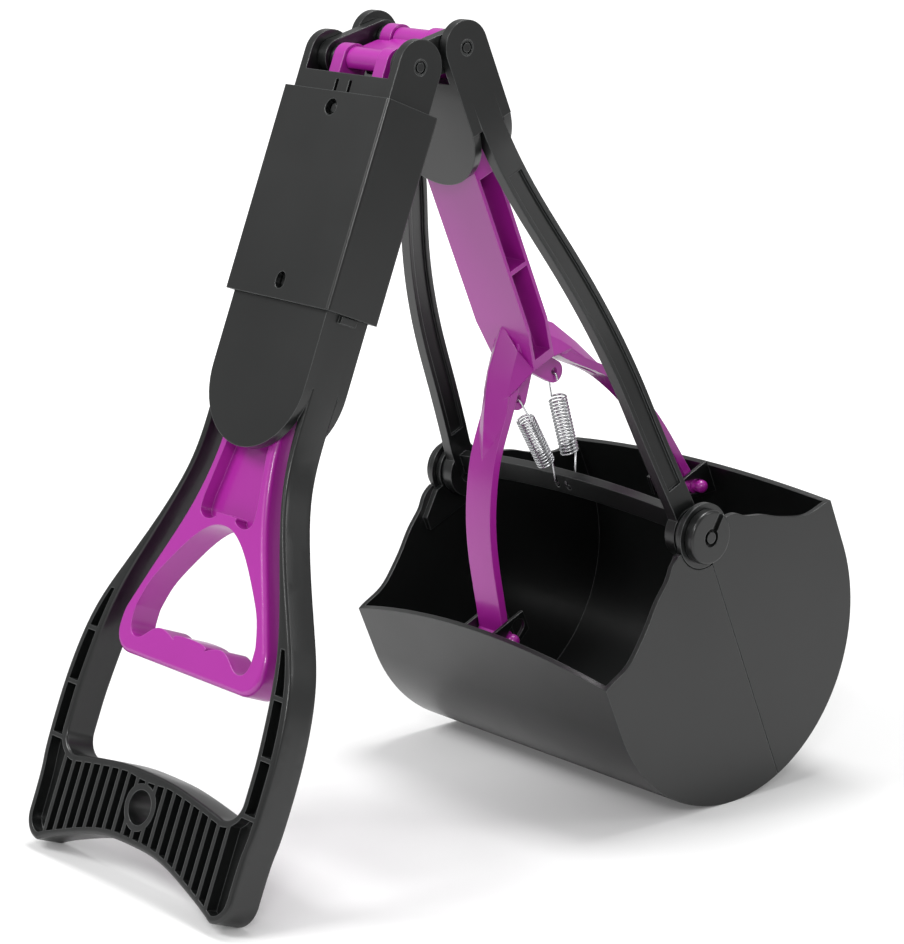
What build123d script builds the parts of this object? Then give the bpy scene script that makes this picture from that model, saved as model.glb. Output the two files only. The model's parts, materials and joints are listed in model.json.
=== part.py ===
from build123d import *
from math import asin, atan2, cos, degrees, pi, radians, sin, sqrt
import os

# A folding long-handled litter scoop. A D-shaped grip with a sliding trigger hangs from one hinge,
# the forked head with its two clamshell jaws from the other, and two short links join the hinges.
# Lengths are millimetres and angles are degrees. The scoop stands folded on its grip and its bin.
# Each limb is drawn in its own two work planes: u runs down the limb from its hinge, w runs out of
# its face. The grip's face looks away from the head, and the head's face looks towards the grip.

# Fold
HINGE_SPACING = 21.4
GRIP_FOLD = 53.9
HEAD_FOLD = 81.0

# Fits
RUN_GAP = 0.3
SHAFT_FIT = 0.08
SEAT_FIT = 0.02
CUT = 5.0

# Hinge housing, the same section at the top of both limbs
HOUSING_WIDTH = 50.6
HOUSING_DEPTH = 18.8
EAR_WALL = 3.5
FACE_WALL = 3.4
GUIDE_GAP = 0.5
GUIDE_WALL = 1.5

# Grip housing
GRIP_WINDOW = 7.1
TONGUE_TOP = 113.0
GUIDE_TOP = 30.0
DETENT_PLACE = 19.6
DETENT_RADIUS = 1.8
DETENT_RISE = 0.7
DETENT_SLIT = 1.6
DETENT_TAPER = 20.0
DETENT_ARM = 5.4
DETENT_SLIT_START = 9.3
DETENT_SLIT_LENGTH = 13.0
STOP_WIDTH = 7.0
STOP_LENGTH = 2.4
STOP_RISE = 1.4

# Lock sleeve
SLEEVE_TOP = 14.0
SLEEVE_LENGTH = 73.0
SLEEVE_GAP = 0.3
SLEEVE_SIDE_WALL = 2.4
SLEEVE_FACE_WALL = 2.05
SLEEVE_EDGE = 1.2
SLEEVE_HOLE_RADIUS = 2.9
SLEEVE_SLOT_WIDTH = 4.7
SLEEVE_SLOT_LENGTH = 5.9
DETENT_TRAVEL = 60.9
GROOVE_DEPTH = 1.0

# D-shaped grip
GRIP_LENGTH = 290.0
GRIP_WIDTH = 120.8
GRIP_DEPTH = 12.5
GRIP_CORNER = 8.5
GRIP_ROUND = 1.0
GRIP_DISH = 12.0
RAIL_START = 100.0
RAIL_OUTER_SHARES = [
    (0.20, 0.05),
    (0.29, 0.225),
    (0.435, 0.62),
    (0.525, 0.845),
    (0.62, 0.96),
    (0.745, 1.0),
    (0.84, 0.985),
]
RAIL_FOOT_SHARE = 0.95
RAIL_INNER_SHARES = [
    (0.102, 0.37),
    (0.164, 0.388),
    (0.209, 0.417),
    (0.271, 0.48),
    (0.345, 0.573),
    (0.412, 0.661),
    (0.475, 0.733),
    (0.548, 0.785),
    (0.616, 0.812),
    (0.68, 0.829),
]
PALM_BAR = 37.5
PALM_SIDE_DROP = 6.5
PALM_SIDE_SHARE = 0.833
PALM_CORNER = 8.0
GRIP_RIM = 2.4
POCKET_DEPTH = 4.5
POCKET_LENGTH = 92.0
RAIL_RIB_SHARES = [0.83, 0.61, 0.38]
RIB = 1.6
PALM_RIB_PITCH = 5.2
PALM_RIB_COUNT = 19
HANG_DROP = 25.2
HANG_BOSS_RADIUS = 8.2
HANG_HOLE_RADIUS = 6.0

# Trigger
GRIP_GAP = 35.0
TRIGGER_WIDTH = 81.0
TRIGGER_DEPTH = 11.0
NECK_WIDTH = 30.0
FLARE_LENGTH = 83.5
TRIGGER_SIDE_SHARES = [(0.14, 0.05), (0.30, 0.19), (0.479, 0.44), (0.65, 0.715), (0.79, 0.93)]
TRIGGER_CORNER = 8.5
TRIGGER_ROUND = 2.0
FINGER_HOLE_LENGTH = 40.0
FINGER_HOLE_SHARES = [
    (0.06, 0.21),
    (0.20, 0.383),
    (0.365, 0.531),
    (0.535, 0.667),
    (0.69, 0.763),
    (0.86, 0.825),
]
FINGER_CORNER_SHARE = (0.985, 0.834)
FINGER_WAVE_SHARES = [(1.14, 0.69), (1.0, 0.415), (1.06, 0.207)]
FINGER_BAR = 12.0
PANEL_START = 60.0
PANEL_SIDE_SHARES = [(-0.69, 0.277), (-0.2, 0.36)]
PANEL_FOOT_SHARES = [(-0.06, 0.345), (-0.02, 0.265), (-0.065, 0.13)]
PANEL_CREST_SHARE = -0.095
PANEL_DEPTH = 5.0

# Forks and chain link in the hinge
FORK_GAP = 17.4
FORK_WIDTH = 28.4
FORK_RADIUS = 5.5
FORK_REACH = 14.0
CHAIN_PIN_RADIUS = 2.4
BARREL_RADIUS = 4.5
BARREL_GAP = 0.3
CHAIN_PLATE_WIDTH = 28.0
CHAIN_PLATE_THICKNESS = 3.6
CLIP_ANGLE = 105.0
CLIP_PLAY = 0.4
CLIP_FLARE = 1.2
SNAP_MOUTH = 3.6

# Hinge links and pins
LINK_GAP = 0.3
LINK_THICKNESS = 4.3
LINK_RADIUS = 6.5
PIN_RADIUS = 2.8
PIN_FLANGE_RADIUS = 4.6
PIN_FLANGE = 1.3
PIN_RING_OUTER = 2.3
PIN_RING_INNER = 1.6
PIN_RING_DEPTH = 1.0

# Forked head
HEAD_WINDOW = 9.5
HEAD_TONGUE_TOP = 25.7
HEAD_WALL_END = 29.5
HEAD_WALL_ROUND = 4.0
ARM_START = 18.0
ARM_WALL = 4.5
ARM_DEPTH = 10.0
ARM_GROOVE = 1.2
ARM_RIM = 1.8
ARM_GROOVE_START = 48.0
ARM_GROOVE_END = 172.0
CROSSBAR_TOP = 182.5
CROSSBAR_ARCH = 3.8
CROSSBAR_HEIGHT = 8.5
CROSSBAR_WIDTH = 3.6
CROSSBAR_REACH = 58.5
HOOK_DROP = 5.0
HOOK_HOLE_RADIUS = 1.2
HOOK_STEP = 3.0
PIVOT_PLACE = 191.4
PIVOT_HALF_SPAN = 62.5
PIVOT_EYE_RADIUS = 9.5
ARM_OUTER_SHARES = [
    (0.188, 0.424),
    (0.293, 0.504),
    (0.428, 0.672),
    (0.549, 0.80),
    (0.679, 0.886),
    (0.784, 0.925),
    (0.93, 0.99),
]

# Pivot stack, from the arm outwards
WASHER = 0.9
WASHER_RADIUS = 9.0
LUG_WALL = 2.0
LUG_RADIUS = 10.0
SHANK_RADIUS = 4.0
BUTTON_RADIUS = 10.0
BUTTON_HEIGHT = 3.6
BUTTON_ROUND = 1.0
KEY_SLOT = 2.8
KEY_EYE_RADIUS = 3.4
KEY_STUD_RADIUS = 2.1
KEY_DEPTH = 2.2
KEY_TURN = 55.0

# Bin jaws
JAW_RADIUS = 63.0
JAW_CENTRE = 237.5
JAW_WALL = 2.0
RIM_PLACE = 216.8
FRONT_RIM_BOW = 8.6
BACK_RIM_BOW = 4.4
SEAM_GAP = 0.3
WAVE_SHARES = [(0.91, 0.76), (0.76, 0.60), (0.58, 0.46), (0.36, 0.31), (0.19, 0.16)]
WAVE_FOOT = 13.0
WAVE_RIM_LEAN = 0.35
WAVE_FOOT_LEAN = 0.2
EYE_RADIUS = 12.0
EYE_GAP = 0.4
LUG_PAD_REACH = 22.0
LUG_PAD_DROP = 13.0
LUG_DROP = 1.5

# Pull bar and its wishbone
BAR_WIDTH = 27.6
BAR_DEPTH = 10.6
BAR_START = 12.0
BAR_END = 112.0
BAR_NOSE = 17.0
BAR_NOSE_HALF_WIDTH = 10.3
BAR_POCKET_TOP = 50.5
BAR_POCKET_END = 125.0
BAR_POCKET_DEPTH = 10.5
BAR_RIM = 1.3
BAR_RIB_PLACE = 88.5
WISHBONE_SHARES = [
    (0.114, 0.131),
    (0.218, 0.275),
    (0.332, 0.486),
    (0.391, 0.585),
    (0.474, 0.688),
    (0.583, 0.791),
    (0.73, 0.882),
    (0.891, 0.95),
]
WISHBONE_WALL = 3.2
WISHBONE_WIDTH = 13.0
GUSSET_SHARES = [(0.0, 0.09), (0.114, 0.312), (0.232, 0.455), (0.35, 0.58), (0.43, 0.655)]
GUSSET_ROOT_SHARES = [(0.4, 0.56), (0.2, 0.2), (0.1, 0.0)]
GUSSET_TAPER = 38.0
CROSS_PIN_PLACE = 217.5
CROSS_PIN_OFFSET = 53.5
CROSS_PIN_RADIUS = 2.2
CROSS_BOSS_RADIUS = 3.2
CROSS_PIN_HALF_LENGTH = 9.7
BALL_RADIUS = 2.6
EAR_PLACE = 140.0
EAR_OFFSET = 9.8
EAR_RADIUS = 4.2
EAR_HOLE_RADIUS = 1.5
EAR_PLATE = 3.0
EAR_ROOT = 128.0

# Rim brackets that guide the cross pins
BRACKET_GAP = 0.5
BRACKET_WALL = 1.4
BRACKET_MARGIN = 1.2
SLOT_PLAY = 0.65
SLOT_SLACK = 0.3

# Return springs
WIRE = 0.8
COIL_RADIUS = 3.2
COIL_TOP = 150.4
COIL_LENGTH = 22.6
COIL_TURNS = 17
SPRING_BEND = 1.4
SPRING_SEAT = 0.1
SAMPLES = 8
SHORT_OF_TURN_SHARE = 0.75
EDGES_IN_TURN = 4

os.makedirs("parts", exist_ok=True)

# Sizes that follow from the ones above
ear_radius = HOUSING_DEPTH / 2
half_housing = HOUSING_WIDTH / 2
ear_inner = half_housing - EAR_WALL
slot_half_depth = HOUSING_DEPTH / 2 - FACE_WALL
link_outer = ear_inner - LINK_GAP
link_inner = link_outer - LINK_THICKNESS
sleeve_inner_half_width = half_housing + SLEEVE_GAP
sleeve_half_width = sleeve_inner_half_width + SLEEVE_SIDE_WALL
sleeve_inner_half_depth = HOUSING_DEPTH / 2 + SLEEVE_GAP
sleeve_half_depth = sleeve_inner_half_depth + SLEEVE_FACE_WALL
washer_inner = PIVOT_HALF_SPAN + RUN_GAP
lug_inner = washer_inner + WASHER + RUN_GAP
lug_outer = lug_inner + LUG_WALL
side_inner = lug_outer + RUN_GAP
side_outer = side_inner + JAW_WALL
button_inner = side_outer + RUN_GAP
button_outer = button_inner + BUTTON_HEIGHT
hole_radius = SHANK_RADIUS + SHAFT_FIT
pin_drop = CROSS_PIN_PLACE - PIVOT_PLACE
palm_top = GRIP_LENGTH - PALM_BAR
hang_place = GRIP_LENGTH - HANG_DROP
pocket_top = GRIP_LENGTH - POCKET_LENGTH
rail_rib_places = [GRIP_LENGTH - share * POCKET_LENGTH for share in RAIL_RIB_SHARES]
trigger_length = palm_top - GRIP_GAP
neck_end = trigger_length - FLARE_LENGTH
finger_floor = trigger_length - FINGER_BAR
finger_top = finger_floor - FINGER_HOLE_LENGTH


def turned(point, angle):
    """Return the point of the XZ plane turned counterclockwise about the origin by an angle."""
    x, z = point
    return (x * cos(angle) - z * sin(angle), x * sin(angle) + z * cos(angle))


def limb_planes(hinge, lean):
    """Return the side plane (u, w) and the face plane (u, -y) of a limb that leans from its hinge."""
    down = Vector(-sin(radians(lean)), 0, -cos(radians(lean)))
    out = Vector(-cos(radians(lean)), 0, sin(radians(lean)))
    side = Plane(origin=hinge, x_dir=down, z_dir=(0, 1, 0))
    face = Plane(origin=hinge, x_dir=down, z_dir=out)
    return side, face


# Standing pose: the floor line touches the grip's back lower edge and the round of the bin
grip_down = radians(180 + GRIP_FOLD)
head_down = radians(-HEAD_FOLD)
foot = turned((GRIP_LENGTH, GRIP_DEPTH / 2 - GRIP_ROUND), grip_down)
bin_centre = turned((JAW_CENTRE, 0), head_down)
bin_centre = (bin_centre[0] + HINGE_SPACING, bin_centre[1])
foot_to_bin = (bin_centre[0] - foot[0], bin_centre[1] - foot[1])
foot_distance = sqrt(foot_to_bin[0] ** 2 + foot_to_bin[1] ** 2)
floor_angle = atan2(foot_to_bin[1], foot_to_bin[0]) - asin(JAW_RADIUS / foot_distance)
link_tilt = -degrees(floor_angle)
grip_lean = 90 - GRIP_FOLD - link_tilt
head_lean = 90 - HEAD_FOLD + link_tilt

floor_foot = turned(foot, -floor_angle)
floor_bin = turned(bin_centre, -floor_angle)
front_corner = turned((GRIP_LENGTH, -GRIP_DEPTH / 2), grip_down)
front_reach = turned(front_corner, -floor_angle)[0]
bin_reach = floor_bin[0] + JAW_RADIUS
middle = (front_reach + bin_reach) / 2
grip_hinge = Vector(-middle, 0, -floor_foot[1])
link_rise = radians(link_tilt)
head_hinge = grip_hinge + Vector(cos(link_rise), 0, sin(link_rise)) * HINGE_SPACING

grip_side, grip_face = limb_planes(grip_hinge, grip_lean)
head_side, head_face = limb_planes(head_hinge, -head_lean)
link_side = Plane(origin=grip_hinge, x_dir=head_hinge - grip_hinge, z_dir=(0, 1, 0))


def strip_between(start, end, width, mode=Mode.ADD):
    """Put a rectangle along u from start to end, as wide as width, into the open sketch."""
    with Locations(((start + end) / 2, 0)):
        Rectangle(end - start, width, mode=mode)


def add_ears(side, wall_end, sign):
    """Add one housing side wall with its round hinge ear, and the hole for the hinge pin."""
    with BuildSketch(side.offset(sign * ear_inner)) as ear:
        Circle(ear_radius)
        strip_between(0, wall_end, HOUSING_DEPTH)
        Circle(PIN_RADIUS + SEAT_FIT, mode=Mode.SUBTRACT)
    extrude(ear.sketch, amount=sign * EAR_WALL)


def add_tongue(face, start, centre, outward):
    """Add one housing face wall that ends in a half round tongue."""
    with BuildSketch(face.offset(outward * slot_half_depth)) as tongue:
        with Locations((centre, 0)):
            Circle(half_housing)
        strip_between(start - HOUSING_WIDTH, start, HOUSING_WIDTH, Mode.SUBTRACT)
        strip_between(start, centre, HOUSING_WIDTH)
    extrude(tongue.sketch, amount=outward * FACE_WALL)


def add_fork(side):
    """Add the two prongs that hold a chain pin, with the pin's hole."""
    for sign in (1, -1):
        with BuildSketch(side.offset(sign * FORK_GAP / 2)) as prong:
            Circle(FORK_RADIUS)
            strip_between(0, FORK_REACH, 2 * FORK_RADIUS)
            Circle(CHAIN_PIN_RADIUS + SEAT_FIT, mode=Mode.SUBTRACT)
        extrude(prong.sketch, amount=sign * (FORK_WIDTH - FORK_GAP) / 2)


def finish(piece, label):
    """Label a finished sub-part and write its STEP file."""
    piece.part.label = label
    export_step(piece.part, "parts/" + label + ".step")


grip_run = GRIP_LENGTH - TONGUE_TOP
grip_growth = GRIP_WIDTH / 2 - half_housing
outer_points = [(TONGUE_TOP + a * grip_run, half_housing + b * grip_growth) for a, b in RAIL_OUTER_SHARES]
inner_points = [(TONGUE_TOP + a * grip_run, b * GRIP_WIDTH / 2) for a, b in RAIL_INNER_SHARES]


def grip_outline(inset):
    """Return the grip's outer outline as a sketch, drawn in from its edge by inset."""
    last = GRIP_LENGTH - inset
    foot_side = half_housing + RAIL_FOOT_SHARE * grip_growth - inset
    corner = GRIP_CORNER - inset
    with BuildSketch() as outline:
        with BuildLine():
            Line((RAIL_START, 0), (RAIL_START, half_housing - inset))
            Line((RAIL_START, half_housing - inset), (TONGUE_TOP, half_housing - inset))
            Spline(
                (TONGUE_TOP, half_housing - inset),
                *[(u, y - inset) for u, y in outer_points],
                (last - corner, foot_side),
                tangents=[(1, 0), (1, 0)],
            )
            TangentArc((last - corner, foot_side), (last, foot_side - corner), tangent=(1, 0))
            Spline((last, foot_side - corner), (last - GRIP_DISH, 0), tangents=[(0, -1), (0, -1)])
            mirror(about=Plane.XZ)
        make_face()
    return outline.sketch


def grip_opening(outset):
    """Return the outline of the grip's hand opening as a sketch, drawn out from its edge by outset."""
    palm_side = palm_top + PALM_SIDE_DROP + outset
    palm_half = PALM_SIDE_SHARE * GRIP_WIDTH / 2 + outset
    corner = PALM_CORNER + outset
    with BuildSketch() as opening:
        with BuildLine():
            Line((RAIL_START - CUT, 0), (RAIL_START - CUT, ear_inner + outset))
            Line((RAIL_START - CUT, ear_inner + outset), (RAIL_START, ear_inner + outset))
            Spline(
                (RAIL_START, ear_inner + outset),
                *[(u, y + outset) for u, y in inner_points],
                (palm_side - corner, palm_half),
                tangents=[(1, 0), (1, 0)],
            )
            TangentArc((palm_side - corner, palm_half), (palm_side, palm_half - corner), tangent=(1, 0))
            Spline((palm_side, palm_half - corner), (palm_top + outset, 0), tangents=[(0, -1), (0, -1)])
            mirror(about=Plane.XZ)
        make_face()
    return opening.sketch


# Handle frame: D-shaped grip, hinge housing and sleeve stops in one moulding
with BuildPart() as handle_frame:
    with BuildSketch(grip_face.offset(-GRIP_DEPTH / 2)):
        add(grip_outline(0))
        add(grip_opening(0), mode=Mode.SUBTRACT)
    extrude(amount=GRIP_DEPTH)
    grip_faces = handle_frame.faces().sort_by(Axis((0, 0, 0), grip_face.z_dir))
    fillet(grip_faces[0].edges() + grip_faces[-1].edges(), GRIP_ROUND)
    with BuildSketch(grip_face.offset(GRIP_DEPTH / 2 - POCKET_DEPTH)):
        add(grip_outline(GRIP_RIM))
        add(grip_opening(GRIP_RIM), mode=Mode.SUBTRACT)
        strip_between(0, pocket_top, GRIP_WIDTH, Mode.SUBTRACT)
        with Locations(*[(place, 0) for place in rail_rib_places]):
            Rectangle(RIB, GRIP_WIDTH, mode=Mode.SUBTRACT)
        with Locations(((palm_top + GRIP_LENGTH) / 2, 0)):
            with GridLocations(0, PALM_RIB_PITCH, 1, PALM_RIB_COUNT):
                Rectangle(PALM_BAR, RIB, mode=Mode.SUBTRACT)
        with Locations((hang_place, 0)):
            Circle(HANG_BOSS_RADIUS, mode=Mode.SUBTRACT)
    extrude(amount=POCKET_DEPTH, mode=Mode.SUBTRACT)
    with BuildSketch(grip_face.offset(-GRIP_DEPTH / 2)):
        with Locations((hang_place, 0)):
            Circle(HANG_HOLE_RADIUS)
    extrude(amount=GRIP_DEPTH, mode=Mode.SUBTRACT)
    for sign in (1, -1):
        add_ears(grip_side, TONGUE_TOP, sign)
        add_tongue(grip_face, GRIP_WINDOW, TONGUE_TOP, sign)
        with BuildSketch(grip_side.offset(sign * (NECK_WIDTH / 2 + GUIDE_GAP))):
            strip_between(GUIDE_TOP, TONGUE_TOP, 2 * slot_half_depth)
        extrude(amount=sign * GUIDE_WALL)
        with BuildSketch(grip_side.offset(sign * half_housing)):
            stop_place = SLEEVE_TOP + SLEEVE_LENGTH + RUN_GAP
            strip_between(stop_place, stop_place + STOP_LENGTH, STOP_WIDTH)
        extrude(amount=sign * STOP_RISE)
    with BuildSketch(grip_face.offset(HOUSING_DEPTH / 2 - FACE_WALL)):
        with Locations((DETENT_SLIT_START + DETENT_SLIT_LENGTH / 2, 0)):
            with GridLocations(0, DETENT_ARM + DETENT_SLIT, 1, 2):
                Rectangle(DETENT_SLIT_LENGTH, DETENT_SLIT)
    extrude(amount=FACE_WALL, mode=Mode.SUBTRACT)
    with BuildSketch(grip_face.offset(HOUSING_DEPTH / 2)):
        with Locations((DETENT_PLACE, 0)):
            Circle(DETENT_RADIUS)
    extrude(amount=SLEEVE_GAP + DETENT_RISE, taper=DETENT_TAPER)
finish(handle_frame, "handle_frame")

# Lock sleeve: closed tube that rides on the housing and clicks onto the detent
sleeve_middle = SLEEVE_TOP + SLEEVE_LENGTH / 2
lower_detent = DETENT_PLACE + DETENT_TRAVEL
with BuildPart() as lock_sleeve:
    with BuildSketch(grip_face.offset(-sleeve_half_depth)):
        strip_between(SLEEVE_TOP, SLEEVE_TOP + SLEEVE_LENGTH, 2 * sleeve_half_width)
    extrude(amount=2 * sleeve_half_depth)
    fillet(lock_sleeve.edges().filter_by(Axis((0, 0, 0), grip_face.x_dir)), SLEEVE_EDGE)
    with BuildSketch(grip_face.offset(-sleeve_inner_half_depth)):
        strip_between(SLEEVE_TOP, SLEEVE_TOP + SLEEVE_LENGTH, 2 * sleeve_inner_half_width)
    extrude(amount=2 * sleeve_inner_half_depth, mode=Mode.SUBTRACT)
    with BuildSketch(grip_face.offset(sleeve_inner_half_depth)):
        strip_between(DETENT_PLACE, lower_detent, 2 * (DETENT_RADIUS + SLEEVE_GAP))
    extrude(amount=GROOVE_DEPTH, mode=Mode.SUBTRACT)
    with BuildSketch(grip_face.offset(sleeve_inner_half_depth)):
        with Locations((DETENT_PLACE, 0)):
            Circle(SLEEVE_HOLE_RADIUS)
        with Locations((lower_detent, 0)):
            SlotOverall(SLEEVE_SLOT_LENGTH, SLEEVE_SLOT_WIDTH)
    extrude(amount=SLEEVE_FACE_WALL, mode=Mode.SUBTRACT)
finish(lock_sleeve, "lock_sleeve")

# Trigger: neck with its fork at the top, shoulders and waved finger bar below
half_trigger = TRIGGER_WIDTH / 2
half_neck = NECK_WIDTH / 2
trigger_points = [
    (neck_end + a * FLARE_LENGTH, half_neck + b * (half_trigger - half_neck)) for a, b in TRIGGER_SIDE_SHARES
]
trigger_corner = (trigger_length - TRIGGER_CORNER, half_trigger)


def trigger_place(share):
    """Return the place on the trigger's face at a share of the finger hole's length and half the width."""
    return (finger_top + share[0] * FINGER_HOLE_LENGTH, share[1] * half_trigger)


with BuildPart() as trigger:
    with BuildSketch(grip_face.offset(-TRIGGER_DEPTH / 2)):
        with BuildLine():
            Line((FORK_REACH, 0), (FORK_REACH, half_neck))
            Line((FORK_REACH, half_neck), (neck_end, half_neck))
            Spline((neck_end, half_neck), *trigger_points, trigger_corner, tangents=[(1, 0), (1, 0)])
            TangentArc(trigger_corner, (trigger_length, half_trigger - TRIGGER_CORNER), tangent=(1, 0))
            Line((trigger_length, half_trigger - TRIGGER_CORNER), (trigger_length, 0))
            mirror(about=Plane.XZ)
        make_face()
    extrude(amount=TRIGGER_DEPTH)
    trigger_front = trigger.faces().sort_by(Axis((0, 0, 0), grip_face.z_dir))[-1]
    fillet(trigger_front.edges(), TRIGGER_ROUND)
    with BuildSketch(grip_face.offset(-TRIGGER_DEPTH / 2)):
        with BuildLine():
            finger_corner = trigger_place(FINGER_CORNER_SHARE)
            Spline(
                (finger_top, 0),
                *[trigger_place(share) for share in FINGER_HOLE_SHARES],
                finger_corner,
                tangents=[(0, 1), (1, 0)],
            )
            Spline(
                finger_corner,
                *[trigger_place(share) for share in FINGER_WAVE_SHARES],
                (finger_floor, 0),
                tangents=[(1, 0), (0, -1)],
            )
            mirror(about=Plane.XZ)
        make_face()
    extrude(amount=TRIGGER_DEPTH, mode=Mode.SUBTRACT)
    with BuildSketch(grip_face.offset(TRIGGER_DEPTH / 2 - PANEL_DEPTH)):
        with BuildLine():
            panel_sides = [trigger_place(share) for share in PANEL_SIDE_SHARES]
            Polyline((PANEL_START, 0), (PANEL_START, panel_sides[0][1]), *panel_sides)
            Spline(
                panel_sides[-1],
                *[trigger_place(share) for share in PANEL_FOOT_SHARES],
                trigger_place((PANEL_CREST_SHARE, 0)),
                tangents=[(1, 0), (0, -1)],
            )
            mirror(about=Plane.XZ)
        make_face()
    extrude(amount=PANEL_DEPTH, mode=Mode.SUBTRACT)
    add_fork(grip_side)
finish(trigger, "trigger")

# Chain link: two barrels and a plate, with a clip that snaps onto each chain pin
half_barrel = FORK_GAP / 2 - BARREL_GAP
plate_clearance = FORK_RADIUS + 2 * RUN_GAP
clip_out = (cos(radians(CLIP_ANGLE)), sin(radians(CLIP_ANGLE)))
clip_across = (-clip_out[1], clip_out[0])
with BuildPart() as chain_link:
    with BuildSketch(link_side.offset(-half_barrel)):
        Circle(BARREL_RADIUS)
        strip_between(0, HINGE_SPACING, CHAIN_PLATE_THICKNESS)
        with Locations((HINGE_SPACING, 0)):
            Circle(BARREL_RADIUS)
    extrude(amount=2 * half_barrel)
    with BuildSketch(link_side.offset(-CHAIN_PLATE_WIDTH / 2)):
        strip_between(plate_clearance, HINGE_SPACING - plate_clearance, CHAIN_PLATE_THICKNESS)
    extrude(amount=CHAIN_PLATE_WIDTH)
    with BuildSketch(link_side.offset(-half_barrel)):
        for place, mouth in ((0, CHAIN_PIN_RADIUS + CLIP_PLAY), (HINGE_SPACING, SNAP_MOUTH / 2)):
            near = mouth + CLIP_FLARE
            with Locations((place, 0)):
                Circle(CHAIN_PIN_RADIUS + CLIP_PLAY)
            with BuildLine():
                Polyline(
                    (place + clip_across[0] * mouth, clip_across[1] * mouth),
                    (
                        place + clip_out[0] * BARREL_RADIUS + clip_across[0] * near,
                        clip_out[1] * BARREL_RADIUS + clip_across[1] * near,
                    ),
                    (
                        place + clip_out[0] * BARREL_RADIUS - clip_across[0] * near,
                        clip_out[1] * BARREL_RADIUS - clip_across[1] * near,
                    ),
                    (place - clip_across[0] * mouth, -clip_across[1] * mouth),
                    close=True,
                )
            make_face()
    extrude(amount=2 * half_barrel, mode=Mode.SUBTRACT)
finish(chain_link, "chain_link")

# Chain pins, one through each fork
for label, side in (("chain_pin_lower", grip_side), ("chain_pin_upper", head_side)):
    with BuildPart() as chain_pin:
        with BuildSketch(side.offset(-FORK_WIDTH / 2)):
            Circle(CHAIN_PIN_RADIUS)
        extrude(amount=FORK_WIDTH)
    finish(chain_pin, label)

# Hinge links and hinge pins, one set inside each pair of ears
for hand, sign in (("left", 1), ("right", -1)):
    with BuildPart() as fold_link:
        with BuildSketch(link_side.offset(sign * link_inner)):
            strip_between(0, HINGE_SPACING, 2 * LINK_RADIUS)
            with Locations((0, 0), (HINGE_SPACING, 0)):
                Circle(LINK_RADIUS)
                Circle(PIN_RADIUS + SHAFT_FIT, mode=Mode.SUBTRACT)
        extrude(amount=sign * LINK_THICKNESS)
    finish(fold_link, "fold_link_" + hand)
    for limb, side in (("handle", grip_side), ("head", head_side)):
        with BuildPart() as hinge_pin:
            with BuildSketch(side.offset(sign * (link_inner - RUN_GAP - PIN_FLANGE))):
                Circle(PIN_FLANGE_RADIUS)
            extrude(amount=sign * PIN_FLANGE)
            with BuildSketch(side.offset(sign * (link_inner - RUN_GAP))):
                Circle(PIN_RADIUS)
            extrude(amount=sign * (half_housing - link_inner + RUN_GAP))
            with BuildSketch(side.offset(sign * half_housing)):
                Circle(PIN_RING_OUTER)
                Circle(PIN_RING_INNER, mode=Mode.SUBTRACT)
            extrude(amount=-sign * PIN_RING_DEPTH, mode=Mode.SUBTRACT)
        finish(hinge_pin, limb + "_hinge_pin_" + hand)

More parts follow.
